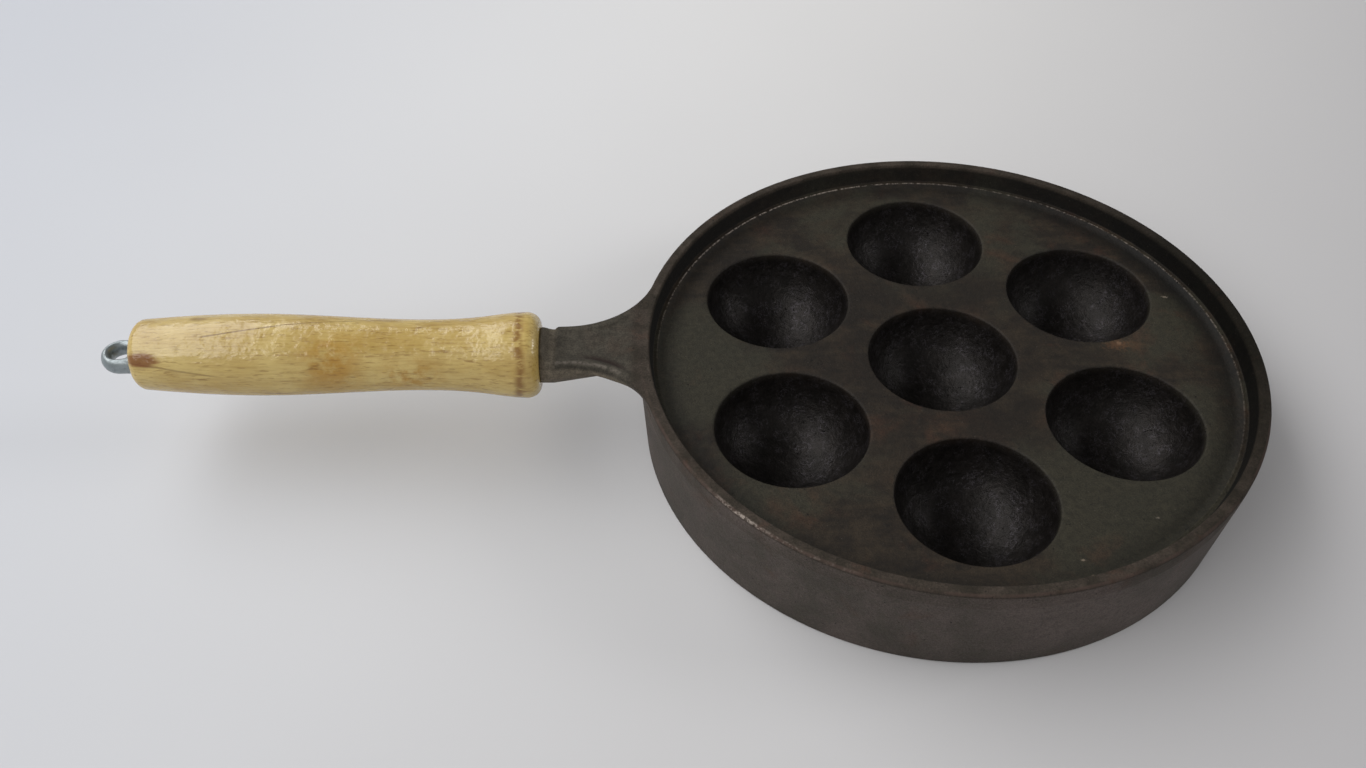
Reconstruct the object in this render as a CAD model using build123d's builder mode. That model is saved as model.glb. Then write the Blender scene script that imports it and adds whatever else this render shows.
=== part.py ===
from build123d import *
import os
from math import atan2, cos, degrees, pi, radians, sin, sqrt

# A round cast iron pan with seven cups for small filled pancakes.
# All sizes are in millimetres. The origin is the centre of the ring that the pan stands on,
# +Z is up, and the handle points along -X.

# The pan's ring wall and rim
rim_radius = 110.0  # outside, at the top
wall_taper = 2.0  # the outside of the wall narrows by this much down to the hob
base_width = 4.0  # width of the ring that stands on the hob
skirt_draft = 1.0  # the inside of the wall leans in by this much up to the plate
rim_land = 3.8  # flat top of the rim
rim_outer_round = 1.4
rim_inner_round = 0.7
base_round = 1.0

# The stepped inside of the rim, and the plate that holds the cups
ledge_depth = 7.2
ledge_width = 1.6
rim_wall_lean = 1.3  # the wall above the ledge leans in by this much
plate_depth = 8.6
plate_thickness = 4.5
cove_radius = 4.0
underside_round = 3.0

# The cups: one in the middle and a ring of them round it
ring_cups = 6
cup_gap = 12.8  # plate between the mouths of two cups
cup_margin = 7.36  # plate between the outer mouths and the cove
cup_relief = 1.2  # a cup is this much shallower than a half ball
cup_wall = 4.0
hob_gap = 2.9  # between the bowls and the hob
cup_edge_round = 0.8
bowl_root_round = 2.0

# The handle's axis rises a little away from the pan
handle_rise = 1.6  # degrees
axis_below_rim = 4.0  # at the boss's end
neck_length = 34.8  # from the rim's outside to the boss's end

# The neck: a round boss, a keel that runs into the wall, and a flat web flush with the rim
boss_radius = 9.9
collar_length = 4.6
keel_end_radius = 5.4
web_half_width = 10.0
web_thickness = 4.6
web_shift = 0.8  # the web's middle line lies this far to +Y of the boss's
web_end_round = 2.0
web_straight = 6.0  # the web's sides run straight from its end for this long, then flare
ramp_radius = 4.5
ramp_start = 1.0  # from the web's end
bead_width = 2.9
dish_depth = 0.8
dish_slope = 50.0  # degrees from upright
dish_gap = 2.5  # between the rim's circle and the dish
dish_corner_round = 2.0  # by the rim
dish_end_round = 1.0  # by the boss

# The turned wooden grip: lengths are measured from its end at the boss
grip_length = 142.0
grip_face_radius = 11.2
shoulder_length = 4.8
shoulder_radius = 15.3
fall_length = 20.0
fall_radius = 13.75
waist_length = 42.0
waist_radius = 12.6
swell_to_end = 47.0  # from the grip's far end
swell_radius = 14.5
tail_to_end = 3.6  # from the grip's far end
tail_radius = 12.55
tail_slope = 0.09
grip_end_radius = 8.6

# The steel rod that runs through the grip into the boss, and its hanging eye
rod_radius = 3.0
rod_clearance = 0.3  # between rod and wood
thread_clearance = 0.05  # between rod and the boss's threaded hole
thread_length = 14.0
thread_hole_spare = 1.5
tip_chamfer = 0.6
eye_half_width = 6.7
eye_height = 6.2
eye_drop = 1.2  # the eye's middle lies this much below the rod's axis
eye_hole_radius = 3.1
eye_shoulder = 3.4  # steel between the eye's hole and the wood
eye_edge_round = 2.0
eye_hole_round = 1.1

# Radii that follow from the sizes above, from the rim inwards
rim_inner_radius = rim_radius - rim_land
ledge_outer_radius = rim_inner_radius - rim_wall_lean
ledge_inner_radius = ledge_outer_radius - ledge_width
step_height = plate_depth - ledge_depth
cove_reach = sqrt(cove_radius**2 - (cove_radius - step_height) ** 2)
plate_edge_radius = ledge_inner_radius - cove_reach
base_radius = rim_radius - wall_taper
skirt_inner_radius = base_radius - base_width

# The cups fill the plate, with the same gap between neighbours in the ring and to the middle one
spacing = min(1, 2 * sin(pi / ring_cups))  # neighbours' distance as a share of the ring's radius
cup_pitch = (plate_edge_radius - cup_margin + cup_gap / 2) / (1 + spacing / 2)
cup_mouth_radius = (spacing * cup_pitch - cup_gap) / 2
cup_depth = cup_mouth_radius - cup_relief

# Heights, from the hob up
plate_top = hob_gap + cup_wall + cup_depth
plate_bottom = plate_top - plate_thickness
pan_height = plate_top + plate_depth
ledge_z = pan_height - ledge_depth
web_bottom = pan_height - web_thickness

# The web's sides flare into the rim on arcs that touch both the side and the rim's circle
web_reach = rim_radius + neck_length - collar_length
flare_start = web_reach - web_straight
flare_square = flare_start**2 + web_half_width**2 - rim_radius**2
web_flare_radius = flare_square / (2 * (rim_radius - web_half_width))

# Each cup is a cap of a sphere, and the bowl under the plate is the same sphere grown by its wall
cup_sphere_radius = (cup_mouth_radius**2 + cup_depth**2) / (2 * cup_depth)
cup_centre_z = plate_top - cup_depth + cup_sphere_radius
bowl_radius = cup_sphere_radius + cup_wall
bowl_root_radius = sqrt(bowl_radius**2 - (cup_centre_z - plate_bottom) ** 2)
above_everything = cup_centre_z + bowl_radius
match = 0.01  # how closely an edge must agree with a size to be picked by it

# The handle's frame: x runs out along the handle and z is up, square to it
rise = radians(handle_rise)
boss_end = Vector(-rim_radius - neck_length, 0, pan_height - axis_below_rim)
handle_out = Vector(-cos(rise), 0, sin(rise))
handle_up = Vector(sin(rise), 0, cos(rise))
handle_axis = Axis(boss_end, handle_out)
boss_plane = Plane(origin=boss_end, x_dir=(0, 1, 0), z_dir=handle_out)
grip_end = boss_end + handle_out * grip_length
eye_plane = Plane(origin=grip_end - handle_up * eye_drop, x_dir=handle_out, z_dir=handle_up)
eye_reach = eye_shoulder + eye_hole_radius  # from the wood to the middle of the eye's hole
grip_bore_radius = rod_radius + rod_clearance

os.makedirs("parts", exist_ok=True)


# The circular edges of one radius that lie flat at one height
def circles(part, radius, z):
    found = part.edges().filter_by(GeomType.CIRCLE)
    found = found.filter_by(lambda edge: abs(edge.radius - radius) < match)
    return found.filter_by(lambda edge: abs(edge.center().Z - z) < match)


# The web and the rim's disc seen from above, drawn in by an inset, with flares between them
def web_outline(inset, end_round):
    with BuildSketch(Plane.XY.offset(pan_height)) as outline:
        Circle(rim_radius - inset)
        web_width = 2 * (web_half_width - inset)
        with Locations((0, web_shift)):
            Rectangle(web_reach - inset, web_width, align=(Align.MAX, Align.CENTER))
        fillet(outline.vertices().sort_by(Axis.X)[2:4], web_flare_radius + inset)
        fillet(outline.vertices().sort_by(Axis.X)[:2], end_round)
    return outline.sketch


# The top of the casting as one slab: the rim's disc and the web that runs out from it
with BuildPart() as rim_and_web:
    add(web_outline(0, web_end_round))
    extrude(amount=-web_thickness)
    fillet(rim_and_web.faces().sort_by(Axis.Z)[-1].edges(), rim_outer_round)

# The casting: ring wall, plate and bowls, with an open underside
with BuildPart() as casting:
    with BuildSketch(Plane.XZ) as wall_section:
        with BuildLine():
            Polyline(
                (0, plate_bottom),
                (skirt_inner_radius - skirt_draft, plate_bottom),
                (skirt_inner_radius, 0),
                (base_radius, 0),
                (rim_radius, web_bottom),
                (0, web_bottom),
                close=True,
            )
        make_face()
        inner_corner = (skirt_inner_radius - skirt_draft, plate_bottom)
        fillet(wall_section.vertices().sort_by_distance(inner_corner)[0], underside_round)
        fillet(wall_section.vertices().group_by(Axis.Y)[0], base_round)
    revolve(axis=Axis.Z)

    add(rim_and_web.part)
    with Locations((0, 0, cup_centre_z)):
        Sphere(bowl_radius)
        with PolarLocations(cup_pitch, ring_cups, start_angle=180 / ring_cups):
            Sphere(bowl_radius)

    # The neck: the round boss, then the keel that tapers into the ring wall
    with BuildSketch(boss_plane):
        Circle(boss_radius)
    extrude(amount=-collar_length)
    keel_length = neck_length - collar_length + rim_land / 2
    keel_taper = degrees(atan2(boss_radius - keel_end_radius, keel_length))
    with BuildSketch(boss_plane.offset(-collar_length)):
        Circle(boss_radius)
    extrude(amount=-keel_length, taper=keel_taper)

    # The top of the web is flat, and climbs a short ramp to the round boss
    with BuildSketch(Plane.XZ):
        ramp_x = ramp_start - web_reach
        with BuildLine():
            flat = Line((-ledge_inner_radius, pan_height), (ramp_x, pan_height))
            ramp_end = (ramp_x - ramp_radius, pan_height + ramp_radius)
            ramp = RadiusArc(flat @ 1, ramp_end, ramp_radius)
            Polyline(
                ramp @ 1,
                (ramp_x - ramp_radius, above_everything),
                (-ledge_inner_radius, above_everything),
                flat @ 0,
            )
        make_face()
    extrude(amount=2 * boss_radius, both=True, mode=Mode.SUBTRACT)

    # A shallow dish in the top of the web leaves a raised bead along its sides
    with BuildSketch(Plane.XY.offset(pan_height)) as dish:
        add(web_outline(bead_width, dish_end_round))
        Circle(rim_radius + dish_gap, mode=Mode.SUBTRACT)
        fillet(dish.vertices().sort_by(Axis.X)[-2:], dish_corner_round)
    extrude(amount=-dish_depth, taper=dish_slope, mode=Mode.SUBTRACT)

    # The shallow recess inside the rim, with its ledge and cove
    with BuildSketch(Plane.XZ):
        with BuildLine():
            floor = Line((0, plate_top), (plate_edge_radius, plate_top))
            cove = RadiusArc(floor @ 1, (ledge_inner_radius, ledge_z), -cove_radius)
            Polyline(
                cove @ 1,
                (ledge_outer_radius, ledge_z),
                (rim_inner_radius, pan_height),
                (rim_inner_radius, above_everything),
                (0, above_everything),
                floor @ 0,
            )
        make_face()
    revolve(axis=Axis.Z, mode=Mode.SUBTRACT)

    # The cups themselves
    with Locations((0, 0, cup_centre_z)):
        Sphere(cup_sphere_radius, mode=Mode.SUBTRACT)
        with PolarLocations(cup_pitch, ring_cups, start_angle=180 / ring_cups):
            Sphere(cup_sphere_radius, mode=Mode.SUBTRACT)

    fillet(circles(casting, cup_mouth_radius, plate_top), cup_edge_round)
    fillet(circles(casting, bowl_root_radius, plate_bottom), bowl_root_round)
    fillet(circles(casting, rim_inner_radius, pan_height), rim_inner_round)

    # The blind hole that the rod screws into
    with BuildSketch(boss_plane):
        Circle(rod_radius + thread_clearance)
    extrude(amount=-thread_length - thread_hole_spare, mode=Mode.SUBTRACT)

casting.part.label = "pan_casting"
export_step(casting.part, "parts/pan_casting.step")
print("casting", casting.part.is_valid, casting.part.volume)

# The wooden grip: one turned outline, with a hole right through for the rod
with BuildPart() as grip:
    with BuildSketch(Plane(origin=boss_end, x_dir=handle_out, z_dir=(0, 1, 0))):
        with BuildLine():
            face = Line((0, grip_bore_radius), (0, grip_face_radius))
            quarter_turn = 90
            EllipticalCenterArc(
                (shoulder_length, grip_face_radius),
                shoulder_length,
                shoulder_radius - grip_face_radius,
                start_angle=quarter_turn,
                arc_size=quarter_turn,
            )
            side = Spline(
                (shoulder_length, shoulder_radius),
                (fall_length, fall_radius),
                (waist_length, waist_radius),
                (grip_length - swell_to_end, swell_radius),
                (grip_length - tail_to_end, tail_radius),
                tangents=[(1, 0), (1, -tail_slope)],
            )
            tail = TangentArc(side @ 1, (grip_length, grip_end_radius), tangent=side % 1)
            Polyline(tail @ 1, (grip_length, grip_bore_radius), face @ 0)
        make_face()
    revolve(axis=handle_axis)

grip.part.label = "wooden_grip"
export_step(grip.part, "parts/wooden_grip.step")
print("grip", grip.part.is_valid, grip.part.volume)

# The steel rod: a flat eye with its hole upright, then a round rod with a threaded tip
with BuildPart() as rod:
    with BuildSketch(eye_plane):
        with BuildLine():
            side = Line((0, -eye_half_width), (eye_reach, -eye_half_width))
            bow = TangentArc(side @ 1, (eye_reach, eye_half_width), tangent=side % 1)
            Polyline(bow @ 1, (0, eye_half_width), side @ 0)
        make_face()
    extrude(amount=eye_height / 2, both=True)
    against_wood = rod.faces().sort_by(handle_axis)[0].edges()
    upright = rod.edges().filter_by(Axis((0, 0, 0), handle_up))
    fillet(rod.edges() - against_wood - upright, eye_edge_round)

    with BuildSketch(eye_plane):
        with Locations((eye_reach, 0)):
            Circle(eye_hole_radius)
    extrude(amount=eye_height, both=True, mode=Mode.SUBTRACT)
    all_circles = rod.edges().filter_by(GeomType.CIRCLE)
    hole_edges = all_circles.filter_by(lambda edge: abs(edge.radius - eye_hole_radius) < match)
    fillet(hole_edges, eye_hole_round)

    with BuildSketch(boss_plane.offset(-thread_length)):
        Circle(rod_radius)
    extrude(amount=thread_length + grip_length + eye_shoulder / 2)
    chamfer(rod.edges().group_by(handle_axis)[0], tip_chamfer)

rod.part.label = "eye_rod"
export_step(rod.part, "parts/eye_rod.step")
print("rod", rod.part.is_valid, rod.part.volume)
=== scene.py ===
import bpy
import bmesh
import math
import numpy as np
from mathutils import Matrix, Vector
from types import SimpleNamespace


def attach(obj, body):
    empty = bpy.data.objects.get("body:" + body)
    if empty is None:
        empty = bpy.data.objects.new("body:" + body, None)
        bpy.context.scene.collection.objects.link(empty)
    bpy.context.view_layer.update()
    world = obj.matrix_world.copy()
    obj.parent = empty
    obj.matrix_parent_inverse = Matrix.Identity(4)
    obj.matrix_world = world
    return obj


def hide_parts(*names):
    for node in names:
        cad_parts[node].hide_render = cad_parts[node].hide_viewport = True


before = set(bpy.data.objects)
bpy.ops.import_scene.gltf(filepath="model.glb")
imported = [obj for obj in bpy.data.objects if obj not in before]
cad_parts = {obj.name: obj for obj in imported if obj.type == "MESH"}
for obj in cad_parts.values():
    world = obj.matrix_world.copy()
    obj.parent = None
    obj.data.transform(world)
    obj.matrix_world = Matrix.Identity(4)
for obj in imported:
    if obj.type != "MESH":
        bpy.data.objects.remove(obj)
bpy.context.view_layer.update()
mm = 0.001
print("frame loaded")

# The pan, in millimetres. Its origin is the middle of the ring it stands on.
pan = {
    "rimRadius": 110.0, "baseRadius": 108.0, "height": 41.0,
    "landStart": 107.5, "lipRadius": 106.2, "lipRound": 0.7, "rimRound": 1.4,
    "ledgeOuter": 104.9, "ledgeInner": 103.3, "ledgeZ": 33.8, "ledgeRound": 0.5,
    "coveRadius": 4.0, "plateTop": 32.4, "plateBottom": 27.9,
    "skirtFoot": 104.0, "skirtHead": 103.0, "skirtRound": 2.94, "footRound": 1.0,
    "cellEdge": 100.0, "cupPitch": 66.2, "cupMouth": 26.7, "cupDepth": 25.5,
    "cupWall": 4.0, "mouthRound": 0.9, "rootRound": 2.0,
}
# The neck: a flat web that flares into the rim, and under it a keel that ends in a round boss.
# Its far side (1) is a little wider than its near side (-1).
neck = {
    "length": 34.8, "collar": 4.6, "halfWidth": {1: 11.3, -1: 9.2}, "flareRadius": {1: 33.0, -1: 30.0},
    "webThick": 4.6, "endRound": 2.0, "bossRadius": 9.9, "bossRound": 0.5, "collarRound": 3.0,
    "keelEnd": 4.9, "keelLength": 36.7, "keelRound": 0.5,
    "rampRadius": 4.5, "rampStart": 1.0, "cutDepth": 1.6, "cutStart": -0.1, "cutEnd": 0.5, "skin": 0.3,
    "lowerPull": 0.2, "flarePull": 4.5, "pullStart": 0.62, "pullEnd": 0.12, "pullLimit": 0.94,
    "lowerShare": 0.9, "beadEdge": (2.6, 4.5), "dishDepth": 0.8, "dishStart": (2.1, 5.1),
    "holeRadius": 3.05, "holeDepth": 15.5, "holeTip": 0.9, "tipRound": 0.05, "holeRound": 0.3,
}
# How finely each part of the casting is divided
divisions = {
    "cup": 26, "cupMouth": 5, "cupFlat": 5, "bowl": 18, "bowlRoot": 4, "bowlFlat": 3,
    "cove": 6, "land": 24, "quarter": 6, "webUnder": 8, "boss": 128,
}

# The handle's own frame: out along the handle, up square to it, and to the far side
handleRise = math.radians(1.6)
handleOut = np.array([-math.cos(handleRise), 0.0, math.sin(handleRise)])
handleUp = np.array([math.sin(handleRise), 0.0, math.cos(handleRise)])
handleSide = np.array([0.0, 1.0, 0.0])
bossEnd = np.array([-144.8, 0.0, 37.0])


# Joins patches of points and quads into one welded, smooth mesh whose place is in its points
def buildPiece(name, patches, weld=0.004):
    points = np.concatenate([p for p, f in patches])
    starts = np.cumsum([0] + [len(p) for p, f in patches[:-1]])
    quads = np.concatenate([f + s for (p, f), s in zip(patches, starts)])
    mesh = bpy.data.meshes.new(name)
    mesh.from_pydata((points * mm).tolist(), [], quads.tolist())
    work = bmesh.new()
    work.from_mesh(mesh)
    bmesh.ops.remove_doubles(work, verts=work.verts, dist=weld * mm)
    bmesh.ops.dissolve_degenerate(work, edges=work.edges, dist=weld * mm * 0.2)
    bmesh.ops.recalc_face_normals(work, faces=work.faces)
    openEdges = sum(1 for e in work.edges if len(e.link_faces) != 2)
    work.to_mesh(mesh)
    work.free()
    mesh.polygons.foreach_set("use_smooth", np.ones(len(mesh.polygons), bool))
    piece = bpy.data.objects.new(name, mesh)
    bpy.context.scene.collection.objects.link(piece)
    print("made", name, "faces", len(mesh.polygons), "open edges", openEdges)
    return piece


# Points on a grid (rows, columns, 3) as one patch; wrap joins the last column to the first
def gridPatch(grid, wrap=False):
    rows, cols = grid.shape[:2]
    j = np.arange(cols if wrap else cols - 1)
    i = np.arange(rows - 1)[:, None]
    a = i * cols + j
    b = i * cols + (j + 1) % cols
    quads = np.stack([a, b, b + cols, a + cols], -1).reshape(-1, 4)
    return grid.reshape(-1, 3), quads


# Plan points (rows, columns, 2) and their heights as one closed patch
def heightPatch(plan, heights):
    return gridPatch(np.concatenate([plan, heights[..., None]], -1), wrap=True)


# Equal shares from 0 to 1 in the given number of steps, shaped to multiply rows of points
def shares(count, first=0):
    return np.linspace(0, 1, count + 1)[first:, None, None]


# Angles of a full turn in equal steps, without the last, which is the first again
def fullTurn(count):
    return np.linspace(0, 2 * math.pi, count + 1)[:-1]


# A circle's points: radius times the cosine and sine of each angle
def circle(radius, angles):
    return radius * np.stack([np.cos(angles), np.sin(angles)], -1)


# An outline of straight runs with a round at each inner corner, as (n, 2) points.
# Each round starts and ends where the circle touches its two runs.
def roundedOutline(corners, radii, roundSteps=5, runs=1):
    corners = np.array(corners, float)
    out = [corners[:1]]
    for before, here, after, radius in zip(corners, corners[1:], corners[2:], radii):
        u = (before - here) / np.linalg.norm(before - here)
        v = (after - here) / np.linalg.norm(after - here)
        half = math.acos(np.clip(u @ v, -1, 1)) / 2
        reach = radius / math.tan(half)
        middle = here + (u + v) / np.linalg.norm(u + v) * radius / math.sin(half)
        start = here + u * reach
        share = np.linspace(0, 1, roundSteps + 1)[:, None]
        a = start - middle
        b = here + v * reach - middle
        bend = math.pi - 2 * half
        arc = (a * np.sin((1 - share) * bend) + b * np.sin(share * bend)) / math.sin(bend) + middle
        last = out[-1][-1:]
        between = last + (start - last) * np.linspace(0, 1, runs + 1)[1:-1, None]
        out += [between, arc]
    last = out[-1][-1:]
    out.append(last + (corners[-1:] - last) * np.linspace(0, 1, runs + 1)[1:, None])
    return np.concatenate(out)


# Turns an outline of (radius, z) points round the pan's axis at the given angles
def turned(outline, angles):
    r, z = outline[:, 0, None], outline[:, 1, None]
    return np.stack([r * np.cos(angles), r * np.sin(angles), z + 0 * angles], -1)


# The same round the handle's axis: outline points are (distance out from the boss's end, radius)
def turnedOnHandle(outline, angles):
    s, r = outline[:, 0, None, None], outline[:, 1, None, None]
    spoke = np.cos(angles)[:, None] * handleUp + np.sin(angles)[:, None] * handleSide
    return bossEnd + s * handleOut + r * spoke[None]


# A soft step from 0 at a to 1 at b: 3 t squared less 2 t cubed
def smooth(a, b, x):
    t = np.clip((x - a) / (b - a), 0, 1)
    return t * t * (3 - 2 * t)


# How far from the pan's middle the web's flat end lies
webReach = pan["rimRadius"] + neck["length"] - neck["collar"]


# Where a flare's circle has its centre: a flare radius out from the web's side, and touching the rim
def flareCentre(side):
    y = neck["halfWidth"][side] + neck["flareRadius"][side]
    return -math.sqrt((pan["rimRadius"] + neck["flareRadius"][side])**2 - y**2), y


# One side of the web from where its flare touches the rim to the middle of its end, by equal
# lengths: an arc that turns away from the rim, a straight run, a corner round and half the end.
# Gives points, outward normals, the touching angle and how far along the flare each point is.
def halfWeb(side, count):
    halfWidth, flareRadius = neck["halfWidth"][side], neck["flareRadius"][side]
    centreX, centreY = flareCentre(side)
    lean = math.atan2(centreY, -centreX)
    runLength = webReach + centreX - neck["endRound"]
    endLength = halfWidth - neck["endRound"]
    sweep = math.pi / 2 - lean
    lengths = [flareRadius * sweep, runLength, neck["endRound"] * math.pi / 2, endLength]
    edges = np.concatenate([[0], np.cumsum(lengths)])
    along = np.linspace(0, edges[-1], count)
    flareShare, runShare, bendShare, endShare = [
        np.clip((along - a) / (b - a), 0, 1) for a, b in zip(edges, edges[1:])]
    turn = lean + flareShare * sweep
    arc = np.stack([centreX + flareRadius * np.cos(turn), centreY - flareRadius * np.sin(turn)], -1)
    run = np.stack([-runShare * runLength, 0 * along], -1)
    bend = bendShare * math.pi / 2
    corner = neck["endRound"] * np.stack([-np.sin(bend), np.cos(bend) - 1], -1)
    end = np.stack([0 * along, -endShare * endLength], -1)
    arcNormal = np.stack([-np.cos(turn), np.sin(turn)], -1)
    bendNormal = np.stack([-np.sin(bend), np.cos(bend)], -1)
    normal = np.where((flareShare < 1)[:, None], arcNormal, bendNormal)
    return arc + run + corner + end, normal, math.pi - lean, flareShare


# Half the casting's plan: plain rim up to the touching angle, in steps that meet the plate's cells
# at 60 and 120 degrees, then the web's outline. Gives angles, points, normals and flare shares.
def halfRing(side, cellSteps=50, rimSteps=36, webCount=84):
    edge, normal, touch, flareShare = halfWeb(side, webCount)
    sixty = math.radians(60)
    plain = np.concatenate([
        np.linspace(0, sixty, cellSteps + 1)[:-1], np.linspace(sixty, 2 * sixty, cellSteps + 1)[:-1],
        np.linspace(2 * sixty, touch, rimSteps + 1)[:-1]])
    rimNormal = circle(1.0, plain)
    return (np.concatenate([plain, np.linspace(touch, math.pi, webCount)]),
            np.concatenate([rimNormal * pan["rimRadius"], edge]), np.concatenate([rimNormal, normal]),
            np.concatenate([0 * plain, flareShare]))


# The whole plan: the far half, then the near half mirrored and run backwards
farHalf, nearHalf = halfRing(1), halfRing(-1)
mirror = np.array([1.0, -1.0])
ringAngles = np.concatenate([farHalf[0], 2 * math.pi - nearHalf[0][-2:0:-1]])
planEdge = np.concatenate([farHalf[1], nearHalf[1][-2:0:-1] * mirror])
planNormal = np.concatenate([farHalf[2], nearHalf[2][-2:0:-1] * mirror])
alongFlare = np.concatenate([farHalf[3], nearHalf[3][-2:0:-1]])


# How far a plan point lies inside the web's outline: the least of its distances to the
# sides or flares, and to the end
def insideWeb(x, y):
    sides = []
    for side in (1, -1):
        centreX, centreY = flareCentre(side)
        flare = np.hypot(x - centreX, side * y - centreY) - neck["flareRadius"][side]
        sides.append(np.where(x > centreX, flare, neck["halfWidth"][side] - side * y))
    return np.minimum(np.minimum(*sides), x + webReach)


# The dish in the web's top: full depth away from the bead along its edge and from the rim
def dishDrop(x, y):
    bead = smooth(*neck["beadEdge"], insideWeb(x, y))
    rimGap = smooth(*neck["dishStart"], np.hypot(x, y) - pan["rimRadius"])
    return neck["dishDepth"] * bead * rimGap


# The seven cells that tile the plate, each star-shaped round its cup: a hexagon in the middle,
# and six that run out to the cell edge. Returns each cell's middle and its boundary points.
def plateCells(sideSteps=20, raySteps=16):
    corner = pan["cupPitch"] / math.sqrt(3)
    cells = []
    hexagon = []
    sideShare = np.linspace(0, 1, sideSteps + 1)[:, None]
    rayShare = np.linspace(0, 1, raySteps + 1)[:, None]
    for k in range(6):
        a, b = math.radians(60 * k), math.radians(60 * k + 60)
        side = circle(corner, a) + (circle(corner, b) - circle(corner, a)) * sideShare
        hexagon.append(side[:-1])
        ray1 = circle(corner, a) + (circle(pan["cellEdge"], a) - circle(corner, a)) * rayShare
        ray2 = circle(pan["cellEdge"], b) + (circle(corner, b) - circle(pan["cellEdge"], b)) * rayShare
        within = ringAngles[(ringAngles > a + 1e-6) & (ringAngles < b - 1e-6)]
        arc = circle(pan["cellEdge"], within)
        edge = np.concatenate([ray1, arc, ray2, side[::-1][1:-1]])
        cells.append((circle(pan["cupPitch"], (a + b) / 2), edge))
    return [(np.zeros(2), np.concatenate(hexagon))] + cells


# One cell: rings of the outline (radius, z) round the cup's middle, then straight to the boundary
def cellPatch(middle, edge, outline, flatSteps):
    spoke = edge - middle
    spoke = spoke / np.linalg.norm(spoke, axis=1)[:, None]
    rings = middle + outline[:, 0, None, None] * spoke
    flat = rings[-1] + shares(flatSteps, 1) * (edge - rings[-1])
    heights = np.concatenate([outline[:, 1], np.full(flatSteps, outline[-1, 1])])
    return heightPatch(np.concatenate([rings, flat]), np.repeat(heights[:, None], len(edge), 1))


# A cup is part of a ball: its radius follows from the mouth's radius and the depth, and its
# middle's height from the depth
sphereRadius = (pan["cupMouth"]**2 + pan["cupDepth"]**2) / (2 * pan["cupDepth"])
sphereZ = pan["plateTop"] - pan["cupDepth"] + sphereRadius


# Half the section of a ball round a cup's middle, from its pole up to a corner round that
# touches both the ball and the flat face at height z
def ballOutline(radius, cornerRound, z, ballSteps, roundSteps):
    roundZ = z - cornerRound
    roundR = math.sqrt((radius + cornerRound)**2 - (sphereZ - roundZ)**2)
    lean = math.atan2(roundR, sphereZ - roundZ)
    a = np.linspace(0, lean, ballSteps + 1)
    ball = np.stack([radius * np.sin(a), sphereZ - radius * np.cos(a)], -1)
    b = np.linspace(math.pi / 2 + lean, math.pi / 2, roundSteps + 1)
    corner = np.array([roundR, roundZ]) + circle(cornerRound, b)
    return np.concatenate([ball, corner[1:]])


# The plate's seven cups, and the bowls under them, a wall's thickness outside
cupProfile = ballOutline(
    sphereRadius, pan["mouthRound"], pan["plateTop"], divisions["cup"], divisions["cupMouth"])
bowlProfile = ballOutline(
    sphereRadius + pan["cupWall"], pan["rootRound"], pan["plateBottom"],
    divisions["bowl"], divisions["bowlRoot"])
cells = plateCells()
patches = [cellPatch(middle, edge, cupProfile, divisions["cupFlat"]) for middle, edge in cells]
patches += [cellPatch(middle, edge, bowlProfile, divisions["bowlFlat"]) for middle, edge in cells]

# From the plate up the cove, over the ledge and up the leaning wall to the rounded lip
coveEnd = math.acos((pan["coveRadius"] - pan["ledgeZ"] + pan["plateTop"]) / pan["coveRadius"])
coveStart = pan["ledgeInner"] - pan["coveRadius"] * math.sin(coveEnd)
c = np.linspace(0, coveEnd, divisions["cove"] + 1)
cove = np.stack([coveStart + pan["coveRadius"] * np.sin(c),
                 pan["plateTop"] + pan["coveRadius"] * (1 - np.cos(c))], -1)
inner = roundedOutline(
    [cove[-1], (pan["ledgeOuter"], pan["ledgeZ"]), (pan["lipRadius"], pan["height"]),
     (pan["landStart"], pan["height"])],
    [pan["ledgeRound"], pan["lipRound"]], runs=3)
riser = np.concatenate([[[pan["cellEdge"], pan["plateTop"]]], cove, inner[1:]])
patches.append(gridPatch(turned(riser, ringAngles), wrap=True))

# The rim's flat top and the web's: straight lines from the lip's circle to the plan outline,
# lowered by the dish, then a quarter round down to the side
lipCircle = circle(pan["landStart"], ringAngles)
roundStart = planEdge - pan["rimRound"] * planNormal
land = lipCircle + shares(divisions["land"]) * (roundStart - lipCircle)
landZ = pan["height"] - dishDrop(land[..., 0], land[..., 1])
quarterTurn = np.linspace(0, math.pi / 2, divisions["quarter"] + 1)[1:, None]
bevel = roundStart + pan["rimRound"] * np.sin(quarterTurn)[..., None] * planNormal
bevelZ = pan["height"] - pan["rimRound"] * (1 - np.cos(quarterTurn)) + 0 * ringAngles

# The web's side and underside, back to the wall. Its lower edge is rounded, and more so along
# the flare, where it runs out into the wall.
webBottom = pan["height"] - neck["webThick"]
wallCircle = circle(pan["rimRadius"], ringAngles)
wallGap = np.linalg.norm(planEdge - wallCircle, axis=1)
pull = neck["lowerPull"] + neck["flarePull"] * smooth(neck["pullStart"], neck["pullEnd"], alongFlare)
pull = np.minimum(pull, neck["pullLimit"] * wallGap)
pull = np.where(alongFlare > 0, pull, 0)[:, None]
lowerRound = (pan["height"] - pan["rimRound"] - webBottom) * neck["lowerShare"]
tuck = planEdge + pull * (np.cos(quarterTurn)[..., None] - 1) * planNormal
tuckZ = webBottom + lowerRound * (1 - np.sin(quarterTurn)) + 0 * wallGap
back = tuck[-1] + shares(divisions["webUnder"], 1) * (wallCircle - tuck[-1])
backZ = np.full(back.shape[:2], webBottom)
tuckStartZ = np.full((1, len(wallGap)), webBottom + lowerRound)
plan = np.concatenate([land, bevel, planEdge[None], tuck, back])
heights = np.concatenate([landZ, bevelZ, tuckStartZ, tuckZ, backZ])
patches.append(heightPatch(plan, heights))

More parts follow.
